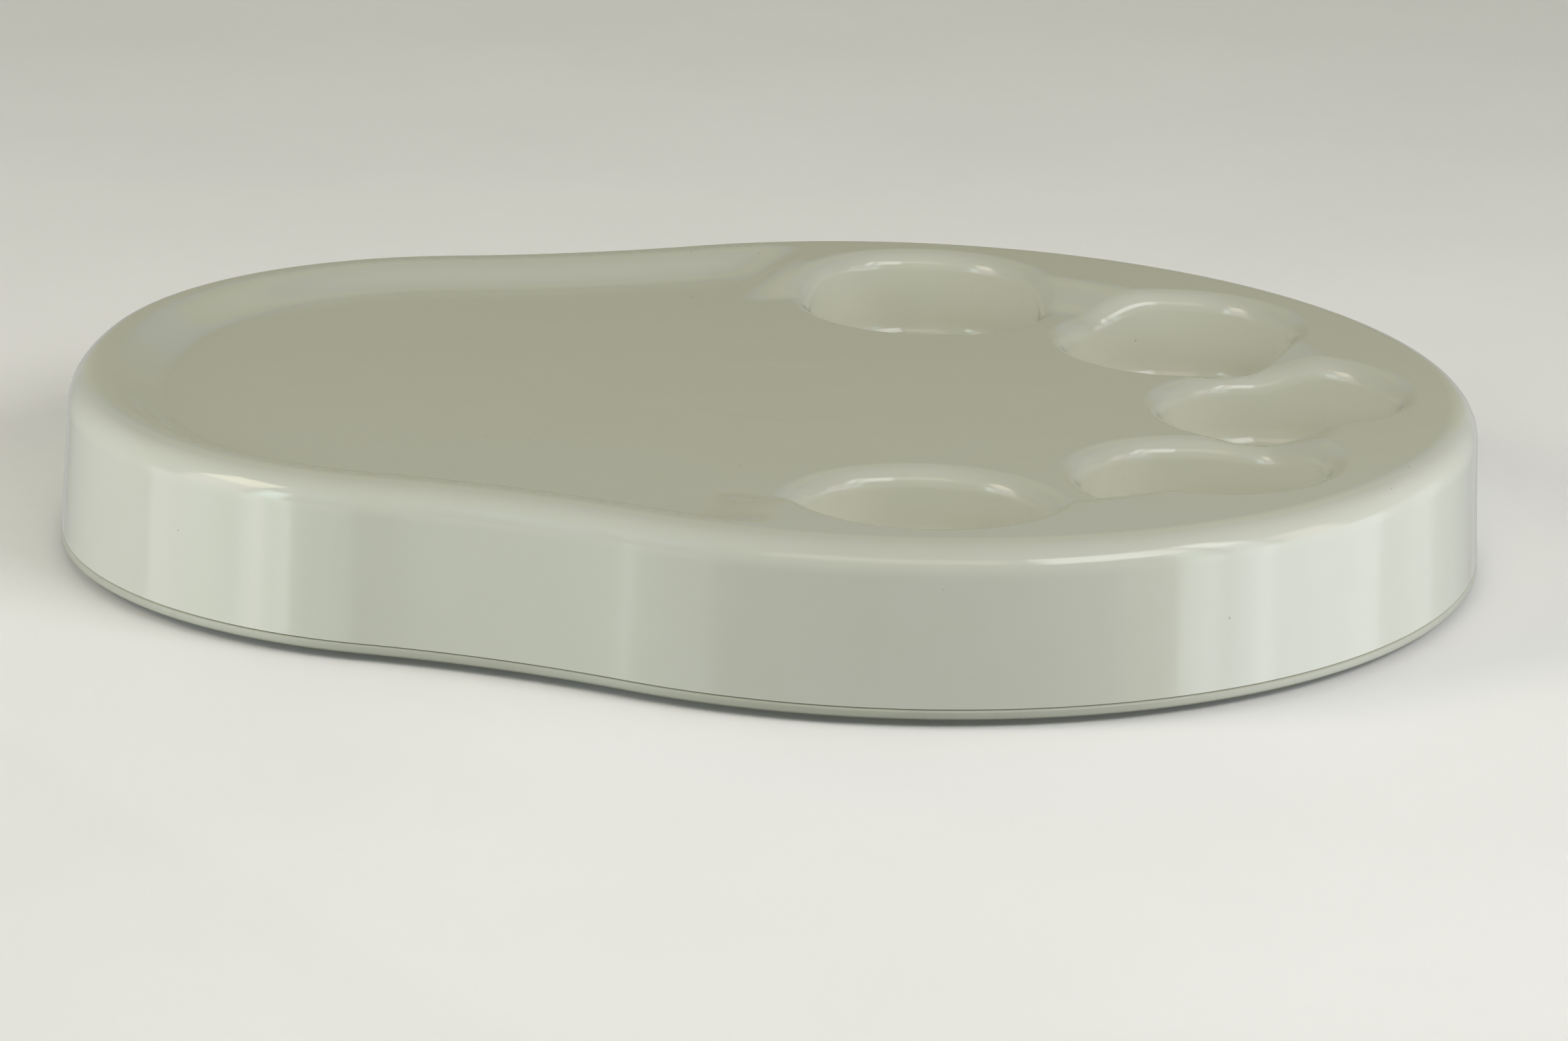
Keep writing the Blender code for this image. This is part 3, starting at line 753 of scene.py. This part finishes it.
def satin_material():
    """Satin cream sheet of the base plate, with a fine grain and scuffs; its cream is darker than the
    top's, partly its own tone and partly painted shade for the dark band along the bottom edge.
    """
    nodes = Nodes("cream_satin_plastic", PLATE_CREAM_AND_SHADE, 0.34)
    broad = nodes.span(nodes.noise(9.0, 3.0), 0.35, 0.65)
    tone = nodes.mix(broad, PLATE_CREAM_AND_SHADE, PLATE_WARM_AND_SHADE)
    grain = nodes.noise(900.0, 3.0, 0.6)
    along = hairlines(nodes, (0.0, 0.0, 1.2), 9.0)
    across = hairlines(nodes, (0.0, 0.0, 2.7), 11.0)
    scuffs = nodes.maths("MAXIMUM", along, across)
    tone = nodes.mix(nodes.maths("MULTIPLY", scuffs, 0.35), tone, CREAM_PALE)
    dirt = nodes.span(nodes.noise(28.0, 6.0, 0.7), 0.55, 0.75)
    tone = nodes.mix(nodes.maths("MULTIPLY", dirt, 0.22), tone, GRIME)
    rough = nodes.maths("ADD", nodes.span(grain, 0.3, 0.7, 0.30, 0.40), nodes.maths("MULTIPLY", dirt, 0.15))
    nodes.bump(grain, 0.00002)
    nodes.bump(scuffs, 0.00001)
    return nodes.finish(tone, rough)


def rubber_material():
    """Dark matt rubber of the feet, dusty on its low face."""
    nodes = Nodes("dark_rubber", RUBBER, 0.85)
    grain = nodes.noise(1400.0, 4.0, 0.6)
    dust = nodes.span(nodes.noise(260.0, 5.0, 0.7), 0.5, 0.75)
    tone = nodes.mix(nodes.maths("MULTIPLY", dust, 0.5), RUBBER, RUBBER_DUSTY)
    nodes.bump(grain, 0.00005)
    return nodes.finish(tone, nodes.span(grain, 0.3, 0.7, 0.75, 0.95))


def inner_material():
    """Plain white moulding of the hidden ring and posts."""
    nodes = Nodes("white_moulding", INNER_WHITE, 0.45)
    tone = nodes.mix(nodes.span(nodes.noise(40.0, 4.0), 0.3, 0.7), INNER_WHITE, INNER_GREY)
    grain = nodes.noise(700.0, 3.0)
    nodes.bump(grain, 0.00003)
    return nodes.finish(tone, nodes.span(grain, 0.3, 0.7, 0.40, 0.52))


def screw_material():
    """Zinc-plated steel, with turning marks and a dull bloom."""
    nodes = Nodes("zinc_plated_steel", ZINC, 0.35, 1.0)
    bloom = nodes.span(nodes.noise(500.0, 5.0, 0.7), 0.4, 0.7)
    tone = nodes.mix(bloom, ZINC, ZINC_DULL)
    rings = nodes.noise(1.0, 2.0, vector=nodes.stretched((200.0, 200.0, 5200.0)))
    nodes.bump(rings, 0.00002)
    return nodes.finish(tone, nodes.span(bloom, 0.0, 1.0, 0.28, 0.5))


def floor_material():
    """Plain pale studio paper."""
    nodes = Nodes("studio_floor", FLOOR, 0.8)
    tone = nodes.mix(nodes.span(nodes.noise(5.0, 3.0), 0.3, 0.7), FLOOR, FLOOR_SHADE)
    nodes.bump(nodes.noise(900.0, 3.0), 0.00003)
    return nodes.finish(tone, nodes.span(nodes.noise(60.0, 3.0), 0.3, 0.7, 0.75, 0.9))


def make_pieces():
    """The visible pieces, and the materials of the hidden ones."""
    gloss = gloss_material()
    surface, bottom = shell_surface()
    add_piece(thicken("top_shell_fine", surface, bottom), gloss, "shell", "top_shell")
    add_piece(plate_mesh(), satin_material(), "plate", "base_plate")
    rubber = rubber_material()
    for number, (x, y) in enumerate(stack_places(), 1):
        add_piece(foot_mesh(f"foot_fine_{number}", x, y), rubber, "foot", f"foot_{number}")
    inner = inner_material()
    steel = screw_material()
    for name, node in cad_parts.items():
        if name.startswith("support") or name.startswith("screw"):
            finish = steel if name.startswith("screw") else inner
            for slot in node.material_slots:
                slot.material = finish


def make_camera():
    """The camera at the photo's angle."""
    data = bpy.data.cameras.new("camera")
    data.sensor_width = 36.0
    data.lens = CAMERA_LENS
    data.clip_start = 0.01
    camera = bpy.data.objects.new("camera", data)
    swing, tilt, roll = (math.radians(angle) for angle in CAMERA_ANGLES)
    turn = Matrix.Rotation(swing, 4, "Z") @ Matrix.Rotation(tilt, 4, "X") @ Matrix.Rotation(roll, 4, "Z")
    camera.matrix_world = Matrix.Translation(CAMERA_PLACE) @ turn
    bpy.context.scene.collection.objects.link(camera)
    bpy.context.scene.camera = camera


def softbox(name, first, last, low, high, radiance, colour):
    """An upright rectangular light round the studio, between two compass angles and two heights."""
    width = 2 * STUDIO_RADIUS * math.tan(math.radians(last - first) / 2)
    data = bpy.data.lights.new(name, "AREA")
    data.shape = "RECTANGLE"
    data.size = width
    data.size_y = high - low
    data.energy = radiance * math.pi * width * (high - low)
    data.color = colour
    lamp = bpy.data.objects.new(name, data)
    turn = math.radians((first + last) / 2)
    ray = Vector((math.cos(turn), math.sin(turn), 0.0))
    lamp.location = ray * STUDIO_RADIUS + Vector((0.0, 0.0, (low + high) / 2))
    lamp.rotation_euler = ray.to_track_quat("Z", "Y").to_euler()
    lamp.visible_camera = False
    bpy.context.scene.collection.objects.link(lamp)


def make_studio():
    """Dim even surroundings and the upright lights."""
    world = bpy.data.worlds.new("studio")
    world.use_nodes = True
    background = world.node_tree.nodes["Background"]
    background.inputs["Color"].default_value = (*WORLD_COLOUR, 1.0)
    background.inputs["Strength"].default_value = WORLD_STRENGTH
    bpy.context.scene.world = world
    for light in LIGHTS:
        softbox(*light)
    bpy.context.scene.view_settings.view_transform = "Standard"


def make_floor():
    """A pale floor that only the camera sees, with a lamp of its own."""
    half = FLOOR_SIZE / 2
    signs = ((-1, -1), (1, -1), (1, 1), (-1, 1))
    corners = [(across * half, along * half, FLOOR_Z) for across, along in signs]
    mesh = bpy.data.meshes.new("floor")
    mesh.from_pydata(corners, [], [(0, 1, 2, 3)])
    mesh.materials.append(floor_material())
    floor = bpy.data.objects.new("floor", mesh)
    bpy.context.scene.collection.objects.link(floor)
    floor.visible_glossy = False
    floor.visible_diffuse = False
    floor.visible_shadow = False
    only_floor = bpy.data.collections.new("only_floor")
    only_floor.objects.link(floor)
    data = bpy.data.lights.new("floor_lamp", "AREA")
    data.size = FLOOR_LAMP_SIZE
    data.energy = FLOOR_LAMP * math.pi * FLOOR_LAMP_SIZE ** 2
    lamp = bpy.data.objects.new("floor_lamp", data)
    lamp.location = (0.0, FLOOR_LAMP_Y, FLOOR_LAMP_Z)
    lamp.light_linking.receiver_collection = only_floor
    bpy.context.scene.collection.objects.link(lamp)


make_pieces()
make_camera()
make_studio()
make_floor()
